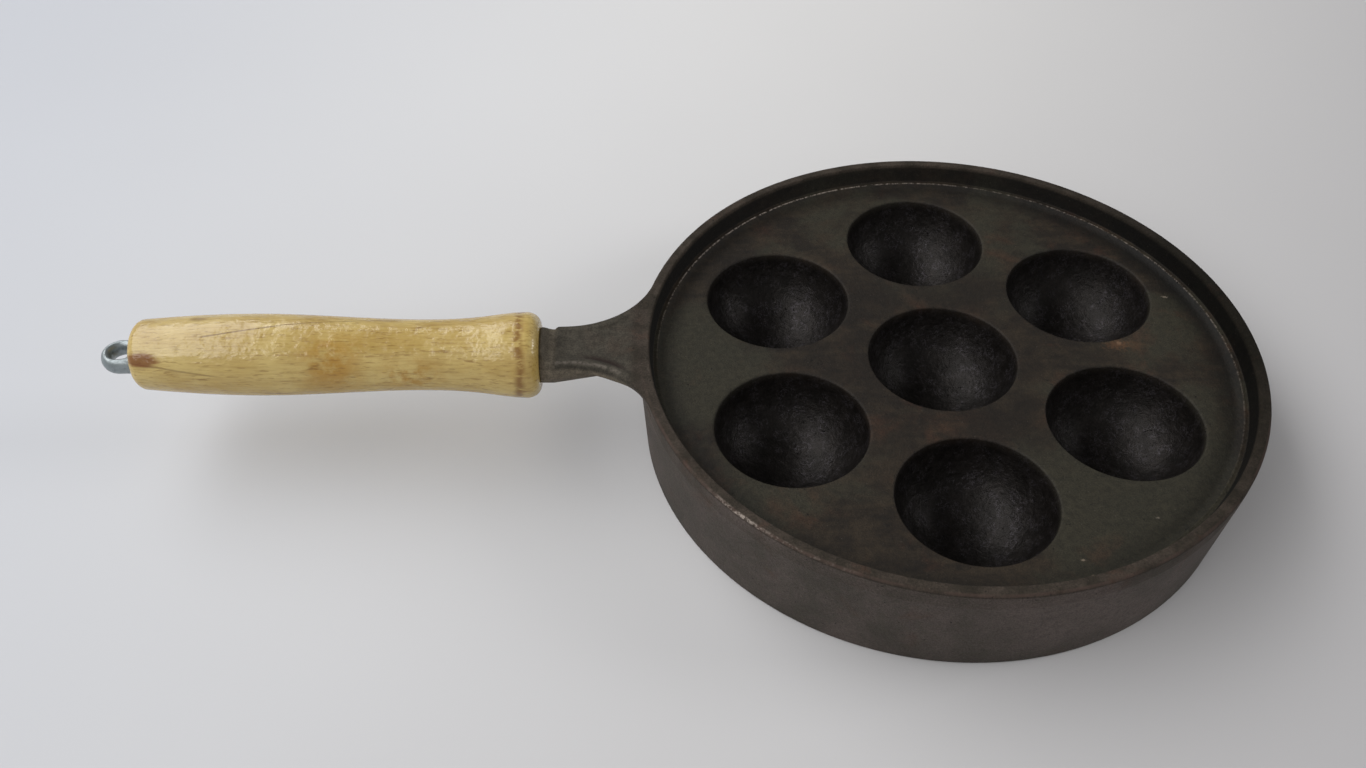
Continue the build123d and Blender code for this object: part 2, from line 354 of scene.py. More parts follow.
# Down the wall, under the ring it stands on, and up the skirt to the plate's underside
skirt = roundedOutline(
    [(pan["rimRadius"], webBottom), (pan["baseRadius"], 0), (pan["skirtFoot"], 0),
     (pan["skirtHead"], pan["plateBottom"]), (pan["cellEdge"], pan["plateBottom"])],
    [pan["footRound"], pan["footRound"], pan["skirtRound"]], runs=5)
patches.append(gridPatch(turned(skirt, ringAngles), wrap=True))
panBody = buildPiece("pan_body", patches)

# The boss and keel, with the rod's hole: an outline turned round the handle's axis, then cut flat
# under the web and along the ramp by lowering every point that stands above the cut
bossOutline = roundedOutline(
    [(-neck["holeDepth"], 0), (neck["holeTip"] - neck["holeDepth"], neck["holeRadius"]),
     (0, neck["holeRadius"]), (0, neck["bossRadius"]), (-neck["collar"], neck["bossRadius"]),
     (-neck["keelLength"], neck["keelEnd"]), (-neck["keelLength"], 0)],
    [neck["tipRound"], neck["holeRound"], neck["bossRound"], neck["collarRound"], neck["keelRound"]],
    roundSteps=6, runs=26)
bossGrid = turnedOnHandle(bossOutline, fullTurn(divisions["boss"]))
rampX = neck["rampStart"] - webReach
x = bossGrid[..., 0]
rampAlong = np.clip(rampX - x, 0, neck["rampRadius"])
rampZ = pan["height"] + neck["rampRadius"] - np.sqrt(neck["rampRadius"]**2 - rampAlong**2)
cutZ = np.where(x < rampX - neck["rampRadius"], math.inf, rampZ)
cutZ -= neck["cutDepth"] * smooth(rampX + neck["cutStart"], rampX + neck["cutEnd"], x)
# the hole is cut a little lower than the outside, so that a thin skin stays between them
inHole = bossOutline[:, 1, None] < neck["holeRadius"] + 0.01
bossGrid[..., 2] = np.minimum(bossGrid[..., 2], cutZ - neck["skin"] * inHole)
boss = buildPiece("pan_boss", [gridPatch(bossGrid, wrap=True)])

# The turned grip: a smooth curve through the measured radii, with a rounded nose and tail
grip = {
    "length": 142.0, "boreRadius": 3.3, "faceRadius": 11.2, "endRadius": 8.6,
    "noseLength": 4.8, "stations": [4.8, 20.0, 42.0, 95.0, 138.4],
    "radii": [15.3, 13.75, 12.6, 14.5, 12.55], "endSlopes": [0.0, -0.09], "tailRound": 3.95,
}


# A cubic through the stations with given end slopes: the slopes at the inner stations come from
# the usual equations that keep its bend unbroken, and each span is then a Hermite cubic
def smoothCurve(x, y, endSlopes, at):
    x, y = np.array(x, float), np.array(y, float)
    h = np.diff(x)
    climb = np.diff(y) / h
    rows, sums = np.eye(len(x)), np.zeros(len(x))
    sums[[0, -1]] = endSlopes
    mid = np.arange(1, len(x) - 1)
    rows[mid, mid - 1], rows[mid, mid], rows[mid, mid + 1] = h[1:], 2 * (h[:-1] + h[1:]), h[:-1]
    sums[mid] = 3 * (h[1:] * climb[:-1] + h[:-1] * climb[1:])
    slope = np.linalg.solve(rows, sums)
    k = np.clip(np.searchsorted(x, at) - 1, 0, len(h) - 1)
    t, w = (at - x[k]) / h[k], h[k]
    return (y[k] * (2 * t**3 - 3 * t**2 + 1) + slope[k] * w * (t**3 - 2 * t**2 + t)
            + y[k + 1] * (3 * t**2 - 2 * t**3) + slope[k + 1] * w * (t**3 - t**2))


# The grip's outline as (distance out, radius): nose, side and tail, then back through its hole
def gripOutline(endSteps=11, sideCount=130, faceCount=6, boreCount=12):
    q = np.linspace(0, math.pi / 2, endSteps + 1)
    noseDepth = grip["radii"][0] - grip["faceRadius"]
    nose = np.stack([grip["noseLength"] * (1 - np.sin(q)), grip["faceRadius"] + noseDepth * np.cos(q)], -1)
    s = np.linspace(grip["stations"][0], grip["stations"][-1], sideCount)
    side = np.stack([s, smoothCurve(grip["stations"], grip["radii"], grip["endSlopes"], s)], -1)
    tailLength = grip["length"] - grip["stations"][-1]
    tail = np.stack([grip["stations"][-1] + tailLength * np.sin(q),
                     grip["endRadius"] + grip["tailRound"] * np.cos(q)], -1)
    endFace = np.stack([np.full(faceCount, grip["length"]),
                        np.linspace(grip["endRadius"], grip["boreRadius"], faceCount)], -1)
    bore = np.stack([np.linspace(grip["length"], 0, boreCount), np.full(boreCount, grip["boreRadius"])], -1)
    noseFace = np.stack([np.zeros(faceCount),
                         np.linspace(grip["boreRadius"], grip["faceRadius"], faceCount)], -1)
    return np.concatenate([nose[::-1], side[1:-1], tail, endFace[1:], bore[1:], noseFace[1:]])


gripGrid = turnedOnHandle(gripOutline(), fullTurn(160))
gripPiece = buildPiece("grip_wood", [gridPatch(gripGrid, wrap=True)])

# The steel rod, with its thread as a ridge that climbs round it, one pitch a turn, and its eye
rod = {
    "radius": 3.0, "threadRoot": 2.45, "threadLength": 14.0, "pitch": 1.0, "rowsPerPitch": 16,
    "fadeStart": 0.3, "fadeEnd": -0.7, "tipCut": 0.2, "tipSlope": 0.9,
    "shankStart": 0.5, "shankPast": 0.7, "eyeHalf": 6.7, "eyeHole": 3.1, "eyeReach": 6.5,
    "eyeHeight": 6.2, "eyeDrop": 1.2, "eyeSquareness": 14.0,
}


# The rod's grid: at each place along it a ring whose radius follows the ridge, with a bevelled
# tip, closed by a point at each end
def rodGrid(ringSteps=48, shankCount=12):
    angles = fullTurn(ringSteps)
    threadCount = round(rod["threadLength"] / rod["pitch"]) * rod["rowsPerPitch"] + 1
    s = np.concatenate([np.linspace(-rod["threadLength"], 0, threadCount),
                        np.linspace(rod["shankStart"], grip["length"] + rod["shankPast"], shankCount)])
    phase = (s[:, None] / rod["pitch"] - angles / (2 * math.pi)) % 1
    ridge = np.abs(2 * phase - 1)
    faded = smooth(rod["fadeStart"], rod["fadeEnd"], s)[:, None]
    radius = rod["radius"] - (rod["radius"] - rod["threadRoot"]) * ridge * faded
    bevel = rod["threadRoot"] - rod["tipCut"] + (s[:, None] + rod["threadLength"]) * rod["tipSlope"]
    radius = np.minimum(radius, bevel)
    spoke = np.cos(angles)[:, None] * handleUp + np.sin(angles)[:, None] * handleSide
    rings = bossEnd + s[:, None, None] * handleOut + radius[..., None] * spoke
    tips = [np.repeat((bossEnd + end * handleOut)[None, None], ringSteps, 1) for end in (s[0], s[-1])]
    return np.concatenate([tips[0], rings, tips[1]])


# The eye: a closed rounded section carried round the hole, between the hole's circle and the
# U-shaped outline. Round the back the outline is the nearer of the flat end and the straight
# sides, blended by a high power so that the corner is rounded.
def eyeGrid(turnSteps=96, sectionSteps=48):
    turn = fullTurn(turnSteps)
    hole = circle(rod["eyeHole"], turn)
    sideReach = rod["eyeHalf"] / np.maximum(np.abs(np.sin(turn)), 1e-6)
    backReach = rod["eyeReach"] / np.maximum(np.abs(np.cos(turn)), 1e-6)
    power = rod["eyeSquareness"]
    squareReach = (sideReach**-power + backReach**-power) ** (-1 / power)
    outer = np.where(np.cos(turn) > 0, rod["eyeHalf"], squareReach)[:, None] * circle(1.0, turn)
    around = fullTurn(sectionSteps)
    across = 0.5 + 0.5 * np.cos(around)
    upward = rod["eyeHeight"] / 2 * np.sin(around)
    flat = hole + across[:, None, None] * (outer - hole)
    middle = bossEnd + (grip["length"] + rod["eyeReach"]) * handleOut - rod["eyeDrop"] * handleUp
    grid = middle + flat[..., :1] * handleOut + flat[..., 1:] * handleSide
    grid = grid + upward[:, None, None] * handleUp
    return np.concatenate([grid, grid[:1]])


rodPiece = buildPiece("rod_steel", [gridPatch(rodGrid(), wrap=True)])
eyePiece = buildPiece("eye_steel", [gridPatch(eyeGrid(), wrap=True)])
print("shapes done")


# Materials. A Wire wraps a node's output socket, so that shader maths reads as plain sums.
class Wire:
    tree = None

    def __init__(self, socket):
        self.socket = socket

    # Adds a node: its settings first, then the values or wires of its sockets
    @staticmethod
    def add(kind, settings=None, inputs=None, out=0):
        node = Wire.tree.nodes.new(kind)
        for key, value in (settings or {}).items():
            setattr(node, key, value)
        for key, value in (inputs or {}).items():
            if isinstance(value, Wire):
                Wire.tree.links.new(node.inputs[key], value.socket)
            else:
                node.inputs[key].default_value = value
        return Wire(node.outputs[out])

    def math(self, operation, *others):
        return mathNode(operation, self, *others)

    def __add__(self, other):
        return mathNode("ADD", self, other)

    def __sub__(self, other):
        return mathNode("SUBTRACT", self, other)

    def __rsub__(self, other):
        return mathNode("SUBTRACT", other, self)

    def __mul__(self, other):
        return mathNode("MULTIPLY", self, other)

    __radd__ = __add__
    __rmul__ = __mul__


# One Math node on numbers or wires
def mathNode(operation, *values):
    return Wire.add("ShaderNodeMath", {"operation": operation}, dict(enumerate(values)))


# 0 below a, 1 above b, with a soft start and end
def step(x, a, b):
    return Wire.add("ShaderNodeMapRange", {"interpolation_type": "SMOOTHSTEP"},
                    {"Value": x, "From Min": a, "From Max": b})


# The same between two lengths in millimetres
def stepMm(x, a, b):
    return step(x, a * mm, b * mm)


# A band of strength 1 round a value, fading out over a width to each side
def band(x, middle, width):
    return 1 - step((x - middle).math("ABSOLUTE"), 0.0, width)


# The same with its middle and width in millimetres, and in degrees
def bandMm(x, middle, width):
    return band(x, middle * mm, width * mm)


def bandDegrees(x, middle, width):
    return band(x, math.radians(middle), math.radians(width))


# Mixes from colour a to colour b by an amount from 0 to 1
def mixColour(amount, a, b):
    a = a if isinstance(a, Wire) else (*a, 1)
    b = b if isinstance(b, Wire) else (*b, 1)
    return Wire.add("ShaderNodeMix", {"data_type": "RGBA"}, {0: amount, 6: a, 7: b}, out=2)


# Noise with its scale in cells per metre
def noise(at, scale, detail=2.0, rough=0.5, warp=0.0):
    return Wire.add("ShaderNodeTexNoise", {"noise_dimensions": "3D"},
                    {"Vector": at, "Scale": scale, "Detail": detail, "Roughness": rough, "Distortion": warp})


# Every noise of a table of settings, by its name
def noises(at, table):
    return SimpleNamespace(**{name: noise(at, *settings) for name, settings in table.items()})


# The same point in coordinates that are scaled along each axis, turned and moved
def stretch(at, scale, turn=(0, 0, 0), move=(0, 0, 0)):
    return Wire.add("ShaderNodeMapping", {},
                    {"Vector": at, "Scale": scale, "Rotation": turn, "Location": move})


# A point's three coordinates, and a point from coordinates
def splitPoint(at):
    return [Wire.add("ShaderNodeSeparateXYZ", {}, {"Vector": at}, out=axis) for axis in ("X", "Y", "Z")]


def joinPoint(*coordinates):
    return Wire.add("ShaderNodeCombineXYZ", {}, dict(enumerate(coordinates)))


# Distance from a point of the surface, in metres, to a fixed place given in millimetres
def awayFrom(at, place):
    place = tuple(float(v) * mm for v in place)
    return Wire.add("ShaderNodeVectorMath", {"operation": "DISTANCE"}, {0: at, 1: place}, out="Value")


# Bumps of a given height in metres, as a normal
def bump(height, distance, strength):
    return Wire.add("ShaderNodeBump", {}, {"Height": height, "Distance": distance, "Strength": strength})


# Written colours are sRGB 0 to 255; the shader wants linear light
def rgb(red, green, blue):
    c = np.array([red, green, blue]) / 255
    return tuple(float(v) for v in np.where(c <= 0.04045, c / 12.92, ((c + 0.055) / 1.055)**2.4))


# One material: a function draws its nodes and returns what feeds the shader's sockets
def finish(name, draw, fixed):
    material = bpy.data.materials.new(name)
    material.use_nodes = True
    Wire.tree = material.node_tree
    shader = Wire.tree.nodes["Principled BSDF"]
    at = Wire.add("ShaderNodeTexCoord", out="Object")
    for key, value in draw(at).items():
        Wire.tree.links.new(shader.inputs[key], value.socket)
    for key, value in fixed.items():
        shader.inputs[key].default_value = value
    return material


# The seasoned iron's colours
ironLook = {
    "plate": rgb(53, 44, 33), "plateDark": rgb(32, 26, 20), "olive": rgb(53, 51, 40),
    "rust": rgb(84, 50, 35), "cup": rgb(26, 23, 21), "cupPale": rgb(42, 38, 36),
    # The third rim tone is painted shade for the rim's right side, and the inner tone is painted shade for
    # the inside wall and under the ledge
    "rim": rgb(72, 63, 55), "rimDark": rgb(50, 44, 36), "rimPaintedShade": rgb(30, 29, 23),
    "wall": rgb(93, 83, 78), "wallDark": rgb(65, 60, 53), "inner": rgb(12, 11, 9),
    # The pale neck tone is painted light on the neck's side and boss
    "neck": rgb(78, 73, 64), "neckDark": rgb(64, 60, 52), "neckPaintedLight": rgb(126, 116, 101),
    # The worn tone serves bare metal and painted highlights
    "pit": rgb(8, 7, 6), "wornAndHighlight": rgb(168, 156, 146), "nick": rgb(140, 130, 116), "orange": rgb(122, 84, 54),
    # The crease tone is painted shade in the dish, and the glint tone is a painted highlight in the cups
    "edge": rgb(84, 67, 61), "dishShadeTone": rgb(34, 22, 19), "glint": rgb(96, 91, 97),
}
# Its noises: cells per metre, detail, roughness and distortion
ironNoise = {
    "clouds": (26.0, 4.0, 0.62, 0.3), "patchy": (120.0, 4.0, 0.62), "sand": (430.0, 3.0, 0.6),
    "grain": (1700.0, 3.0, 0.65), "pits": (640.0, 4.0, 0.62), "specks": (1300.0, 2.0, 0.75),
    "olive": (22.0, 4.0, 0.62, 0.4), "rust": (48.0, 4.0, 0.65, 0.5), "between": (34.0, 3.0, 0.6, 0.3),
    "broken": (620.0, 4.0, 0.7), "edge": (90.0, 3.0, 0.6), "creases": (560.0, 3.0, 0.6, 0.5),
    "creasePatches": (210.0, 2.0, 0.5), "wrinkles": (380.0, 4.0, 0.62, 0.6),
}
# Where its finishes give way to each other: start and end of each change, in millimetres
ironEdges = {
    "ball": (sphereRadius + 1.0, sphereRadius + 2.0), "cupMouth": (26.2, 27.1), "cupLip": (32.2, 32.8),
    "rimTop": (39.2, 40.4), "outside": (106.8, 108.5), "outward": (30.0, 105.0),
    "innerWall": (104.2, 105.0), "aboveLedge": (33.6, 34.2), "corner": (92.5, 101.5),
    "cornerEnd": (103.1, 103.3), "neck": (110.5, 115.0), "neckTop": (37.5, 39.5), "boss": (138.5, 140.5),
    "webTop": (38.5, 39.5), "web": (112.0, 118.0), "beadEnd": (139.0, 140.0), "dishEnd": (124.0, 133.0),
}
# Marks on the plate: place in millimetres, size, how much of them is rust, and strength
marks = [
    ((65.6, 5.4, 32.4), 1.7, 0.6, 0.42), ((64.6, 4.6, 32.4), 5.6, 1.0, 0.26),
    ((70.5, 4.2, 32.4), 5.0, 1.0, 0.12), ((89.5, 30.2, 32.4), 1.3, 0.1, 0.7),
    ((56.0, -75.5, 32.4), 0.8, 0.0, 0.5), ((28.0, -91.3, 32.4), 0.9, 0.2, 0.6),
    ((29.6, -97.4, 32.4), 0.8, 0.3, 0.5), ((-22.0, -60.0, 32.4), 0.7, 0.3, 0.4),
]


# A soft step from one finish to the next
def past(x, edge):
    return stepMm(x, *ironEdges[edge])


# Where a point is: its radius and angle round the pan, and which part of the casting it is on
def ironPlaces(at):
    x, y, z = splitPoint(at)
    r = (x * x + y * y).math("SQRT")
    angle = mathNode("ARCTAN2", y, x)
    # the nearest cup: the angle is folded into one sixth of the ring
    sixth = math.pi / 3
    fold = (angle + 2 * math.pi).math("MODULO", sixth) - sixth / 2
    foldX = r * fold.math("COSINE") - pan["cupPitch"] * mm
    foldY = r * fold.math("SINE")
    cupAway = (foldX * foldX + foldY * foldY).math("SQRT").math("MINIMUM", r)
    # inside a cup: nearer to its ball's middle than halfway through its wall
    fromMiddle = z - sphereZ * mm
    ballAway = (cupAway * cupAway + fromMiddle * fromMiddle).math("SQRT")
    inBall = 1 - past(ballAway, "ball")
    inCup = (1 - past(cupAway, "cupMouth")) * inBall * (1 - past(z, "cupLip"))
    onTop = past(z, "rimTop")
    outside = past(r, "outside") * (1 - onTop)
    innerWall = past(r, "innerWall") * past(z, "aboveLedge")
    return SimpleNamespace(at=at, x=x, y=y, z=z, out=-1 * x, r=r, angle=angle, inCup=inCup, onTop=onTop,
                           outside=outside, innerWall=innerWall, outward=past(r, "outward"))


# The plate: dark clouds and long thin rub marks, olive towards the outside and in two places,
# red-brown in patches and black between the cups
def platePaint(place, tones, rusty):
    rubs = noise(stretch(place.at, (0.16, 1.0, 1.0), turn=(0, 0, 0.35)), 300.0, 3.0, 0.6)
    tone = tones.clouds * 0.45 + tones.patchy * 0.30 + rubs * 0.25
    plate = mixColour(step(tone, 0.40, 0.58), ironLook["plateDark"], ironLook["plate"])
    left = 1 - stepMm(awayFrom(place.at, (-90, -4, 32)), 6, 46)
    lowRight = 1 - stepMm(awayFrom(place.at, (62, -72, 32)), 10, 58)
    more = (left * 0.22 + lowRight * 0.20).math("MINIMUM", 0.22)
    olive = step(tones.olive + place.outward * 0.04 + more, 0.50, 0.66)
    plate = mixColour(olive * 0.8, plate, ironLook["olive"])
    plate = mixColour(rusty * 0.30, plate, ironLook["rust"])
    between = bandMm(place.r, 36, 34) * step(tones.between, 0.38, 0.60)
    return mixColour(between * 0.9, plate, ironLook["plateDark"])


# The neck: a plain tone on top, painted light on its side and on the boss, a little rust over all
def neckPaint(place, tones, rusty):
    tone = step(tones.patchy * 0.5 + tones.clouds * 0.5, 0.38, 0.62)
    colour = mixColour(tone, ironLook["neckDark"], ironLook["neck"])
    # painted light: the side below the top and the boss are paler
    colour = mixColour((1 - past(place.z, "neckTop")) * 0.7, colour, ironLook["neckPaintedLight"])
    colour = mixColour(past(place.out, "boss") * 0.55, colour, ironLook["neckPaintedLight"])
    return mixColour(rusty * 0.15, colour, ironLook["rust"])


# Each part of the casting in its own tone: plate, cups, wall inside and outside, rim and neck, with painted
# shade on the inside wall and on the rim's right side
def partPaint(place, tones):
    rusty = step(tones.rust - place.outward * 0.06, 0.48, 0.70)
    cupTone = step(tones.patchy * 0.4 + tones.sand * 0.6, 0.40, 0.64)
    wallTone = step(tones.clouds * 0.6 + tones.sand * 0.4, 0.38, 0.62)
    rimTone = step(tones.patchy * 0.6 + tones.sand * 0.4, 0.4, 0.6)
    cup = mixColour(cupTone, ironLook["cup"], ironLook["cupPale"])
    wall = mixColour(wallTone, ironLook["wallDark"], ironLook["wall"])
    rim = mixColour(rimTone, ironLook["rimDark"], ironLook["rim"])
    colour = mixColour(place.inCup, platePaint(place, tones, rusty), cup)
    # painted shade: the inside wall goes near-black, a little less at the back
    innerShadeShare = 0.9 - 0.35 * bandDegrees(place.angle, 95, 60)
    colour = mixColour(place.innerWall * innerShadeShare, colour, ironLook["inner"])
    colour = mixColour(place.outside, colour, mixColour(rusty * 0.30, wall, ironLook["rust"]))
    # painted shade: the rim top is darker on the right
    rim = mixColour(bandDegrees(place.angle, 8, 70) * 0.8, rim, ironLook["rimPaintedShade"])
    colour = mixColour(place.onTop, colour, mixColour(rusty * 0.40, rim, ironLook["rust"]))
    return mixColour(past(place.out, "neck"), colour, neckPaint(place, tones, rusty))


# Grain lightens and darkens every tone a little, and painted shade, the rim's shadow, darkens the
# plate and cove under the ledge, most on the far right. Gives the colour and the pits.
def grainPaint(place, tones, colour):
    gritty = step(tones.grain * 0.6 + tones.sand * 0.4, 0.36, 0.64)
    colour = mixColour(gritty * 0.50, colour, ironLook["pit"])
    specks = step(tones.specks, 0.66, 0.76)
    colour = mixColour(specks * 0.10 * (1 - place.inCup * 0.5), colour, ironLook["wornAndHighlight"])
    dots = step(tones.pits, 0.66, 0.74)
    colour = mixColour(dots * 0.75, colour, ironLook["pit"])
    # painted shadow of the rim over the plate's edge and the cove, deepest on the far right
    corner = past(place.r, "corner") * (1 - past(place.r, "cornerEnd")) * (1 - place.onTop)
    farRight = bandDegrees(place.angle, 22, 75)
    return mixColour(corner * (0.35 + 0.55 * farRight), colour, ironLook["inner"]), dots


# Bare metal with painted highlight: a thin bright line on the ledge's edge, strongest on the far left, and
# the rim's outer edge, which is reddened on the near side; then the marks. Gives the colour, and the wear
# with its painted highlight.
def wearAndHighlightPaint(place, tones, colour):
    # the ledge's bright edge line: partly bare metal, partly painted highlight
    ledgeCorner = bandMm(place.r, pan["ledgeInner"] + 0.12, 0.45) * bandMm(place.z, pan["ledgeZ"], 0.8)
    farLeft = bandDegrees(place.angle, 128, 62)
    farSide = bandDegrees(place.angle, 48, 105)
    ledgeWearAndHighlight = ledgeCorner * (
        0.55 * farSide * step(tones.broken, 0.46, 0.60) + farLeft * step(tones.broken, 0.42, 0.58))
    edgeAway = awayFrom(joinPoint(place.r, place.z), (109.7, 40.6, 0.0))
    onEdge = 1 - stepMm(edgeAway, 0.2, 0.9)
    worst = bandDegrees(place.angle, -135, 7)
    beside = bandDegrees(place.angle, -130, 22)
    # the rim's bright outer edge on the near left: partly bare metal, partly painted highlight
    rimWearAndHighlight = onEdge * (
        worst * 0.8 * step(tones.broken, 0.42, 0.58) + beside * 0.35 * step(tones.broken, 0.50, 0.62))
    wearAndHighlight = (ledgeWearAndHighlight + rimWearAndHighlight).math("MINIMUM", 1.0)
    reddened = onEdge * step(tones.edge, 0.36, 0.60) * stepMm(-1 * place.y, -20, 60)
    colour = mixColour(reddened * 0.45, colour, ironLook["edge"])
    squash = 1.5  # a mark is this much narrower along y
    for (markX, markY, markZ), size, rust, strength in marks:
        away = awayFrom(stretch(place.at, (1.0, squash, 1.0)), (markX, markY * squash, markZ))
        spot = 1 - stepMm(away + (tones.broken - 0.5) * size * 0.0026, size * 0.2, size)
        colour = mixColour(spot * strength, colour, mixColour(rust, ironLook["nick"], ironLook["orange"]))
    return mixColour(wearAndHighlight * 0.8, colour, ironLook["wornAndHighlight"]), wearAndHighlight


# The bead along the web's near edge: a painted highlight, with a line of painted shade where the dish begins.
# Both follow the distance in from the web's edge, along the flare and then the straight side.
def beadPaint(place, tones, colour):
    centreX, centreY = flareCentre(-1)
    flareAway = awayFrom(joinPoint(place.x, place.y), (centreX, -centreY, 0.0))
    flareEdge = flareAway - neck["flareRadius"][-1] * mm
    straightEdge = place.y + neck["halfWidth"][-1] * mm
    pastFlare = stepMm(place.out, -centreX - 0.5, -centreX + 0.5)
    fromEdge = flareEdge * (1 - pastFlare) + straightEdge * pastFlare
    onWeb = past(place.out, "web") * past(place.z, "webTop")
    # painted highlight along the bead
    beadHighlight = bandMm(fromEdge, 1.2, 1.2) * onWeb * (1 - past(place.out, "beadEnd"))
    # painted shade along the dish's near edge
    wavering = fromEdge + (tones.patchy - 0.5) * 0.002
    dishShadeLine = bandMm(wavering, 4.4, 2.2) * onWeb * (1 - past(place.out, "dishEnd"))
    colour = mixColour(dishShadeLine * 0.85, colour, ironLook["dishShadeTone"])
    return mixColour(beadHighlight * step(tones.broken, 0.36, 0.62) * 0.20, colour, ironLook["wornAndHighlight"])


# The iron: its colours by part with painted shade and light, grain, wear with painted highlights and the
# bead, then thin painted glints in the cups.
# The cups are smoother than the rest, and bumps of sand and grain cover it all.
def drawIron(at):
    place = ironPlaces(at)
    tones = noises(at, ironNoise)
    colour, dots = grainPaint(place, tones, partPaint(place, tones))
    colour, wearAndHighlight = wearAndHighlightPaint(place, tones, colour)
    colour = beadPaint(place, tones, colour)
    # painted glints: thin light lines in patches over the cups
    creases = band(tones.creases, 0.5, 0.035) * step(tones.creasePatches, 0.42, 0.62)
    colour = mixColour(creases * place.inCup * 0.30, colour, ironLook["glint"])
    shaded = place.innerWall * bandDegrees(place.angle, 0, 85) * 0.7
    rough = 0.64 + tones.sand * 0.12 - place.inCup * 0.27 + place.innerWall * 0.2 - wearAndHighlight * 0.25
    sandy = (tones.grain * 0.55 + tones.sand * 1.1) * (1 - place.inCup * 0.55)
    height = sandy + tones.wrinkles * place.inCup * 1.1 - dots * 0.8
    return {"Base Color": colour, "Roughness": rough,
            "Metallic": (place.inCup * 0.58).math("MAXIMUM", shaded), "Normal": bump(height, 0.00030, 0.9)}


# The varnished wood's colours
woodLook = {
    "pale": rgb(199, 175, 110), "mid": rgb(178, 150, 84), "deep": rgb(146, 111, 52),
    "fleck": rgb(112, 74, 24), "line": rgb(92, 60, 26), "torn": rgb(126, 88, 34),
    "stain": rgb(114, 60, 12), "band": rgb(164, 118, 30),
}
# Its noises: scale along the grip (under 1 draws them out), a shift, then as for the iron
woodNoise = {
    "fibres": (0.06, 0.0, 1100.0, 3.0, 0.6), "pores": (0.14, 0.3, 1300.0, 2.0, 0.6),
    "flecks": (0.20, 0.7, 420.0, 3.0, 0.6), "figure": (0.35, 0.0, 95.0, 3.0, 0.55, 0.4),
    "clouds": (1.0, 0.0, 42.0, 3.0, 0.6, 0.3), "worked": (1.0, 0.0, 260.0, 3.0, 0.6),
    "wobble": (0.3, 0.0, 130.0, 2.0, 0.5), "torn": (0.30, 0.1, 620.0, 3.0, 0.65),
    "peel": (0.7, 0.0, 460.0, 2.0, 0.6), "swell": (1.0, 0.0, 150.0, 2.0, 0.5),
}


# The grip's own coordinates in metres: along it from the boss, towards the near side and up
def gripPoint(at):
    start = tuple(float(v) * mm for v in bossEnd)
    fromEnd = Wire.add("ShaderNodeVectorMath", {"operation": "SUBTRACT"}, {0: at, 1: start})
    return [Wire.add("ShaderNodeVectorMath", {"operation": "DOT_PRODUCT"},
                     {0: fromEnd, 1: tuple(float(v) for v in axis)}, out="Value")
            for axis in (handleOut, -handleSide, handleUp)]


# Dark grain lines: a long one over the top, and a short one on the near side by the eye. Each
# is a band round an angle that changes along the grip.
def grainLines(s, around, tones, colour):
    wavering = around + (tones.wobble - 0.5) * 0.08
    longAngle = 0.12 + (s - 0.0957) * 13.0
    shortAngle = 1.12 + (0.1338 - s) * 10.6
    onLong = band(wavering, longAngle, 0.036) * stepMm(s, 20, 60) * (1 - stepMm(s, 113, 119))
    onShort = band(wavering, shortAngle, 0.045) * stepMm(s, 108, 116)
    faded = step(tones.figure, 0.30, 0.60) * 0.4 + 0.6
    return mixColour((onLong * 0.75 + onShort * 0.8).math("MINIMUM", 0.9) * faded, colour, woodLook["line"])


# A reddish stain by the eye, and a small smudge on top: balls drawn out along the grip
def stains(s, side, up, tones, colour):
    ragged = (tones.fibres - 0.5) * 0.003
    drawnOut = joinPoint(s * 0.42, side, up)
    stain = 1 - stepMm(awayFrom(drawnOut, (57.3, 10.6, 7.2)) + ragged, 1.8, 3.4)
    colour = mixColour(stain * 0.85, colour, woodLook["stain"])
    smudge = 1 - stepMm(awayFrom(drawnOut, (49.6, -3.8, 13.5)) + ragged, 0.8, 2.0)
    return mixColour(smudge * 0.5, colour, woodLook["line"])


# The wood: pale clouds, fibres, deeper patches past the waist on the near side, pores and
# flecks, grain lines and stains, and torn grain behind the shoulder, under a glossy varnish.
# The angle round the grip is 0 on top and grows towards the near side.
def drawWood(at):
    s, side, up = gripPoint(at)
    around = mathNode("ARCTAN2", side, up)
    local = joinPoint(s, side, up)
    tones = SimpleNamespace(**{
        name: noise(stretch(local, (along, 1, 1), move=(shift, 0, 0)), *settings)
        for name, (along, shift, *settings) in woodNoise.items()})
    tone = step(tones.clouds * 0.6 + tones.figure * 0.4, 0.36, 0.64)
    colour = mixColour(tone, woodLook["pale"], woodLook["mid"])
    colour = mixColour(step(tones.fibres, 0.42, 0.70) * 0.35, colour, woodLook["deep"])
    pastWaist = bandMm(s, 71, 15) * bandDegrees(around, 62, 70)
    atWaist = bandMm(s, 44, 15) * bandDegrees(around, 82, 42)
    worked = step(tones.figure * 0.5 + tones.worked * 0.5, 0.40, 0.56)
    deeper = (pastWaist * 0.85 + atWaist * 0.95).math("MINIMUM", 0.8) * worked
    colour = mixColour(deeper, colour, woodLook["band"])
    colour = mixColour(step(tones.pores, 0.56, 0.68) * 0.40, colour, woodLook["fleck"])
    colour = mixColour(step(tones.flecks, 0.64, 0.72) * 0.60, colour, woodLook["fleck"])
    colour = grainLines(s, around, tones, colour)
    colour = stains(s, side, up, tones, colour)
    endRing = bandMm(s + (tones.figure - 0.5) * 0.004, 6.6, 2.6) * step(tones.torn, 0.38, 0.54)
    colour = mixColour(endRing * 0.9, colour, woodLook["torn"])
    colour = mixColour(bandMm(s, 142.5, 2.2) * 0.25, colour, woodLook["deep"])
    height = tones.fibres * 0.2 + tones.peel * 0.7 + tones.swell * 1.4
    return {"Base Color": colour, "Roughness": 0.16 + tones.fibres * 0.10,
            "Normal": bump(height, 0.00040, 0.9)}


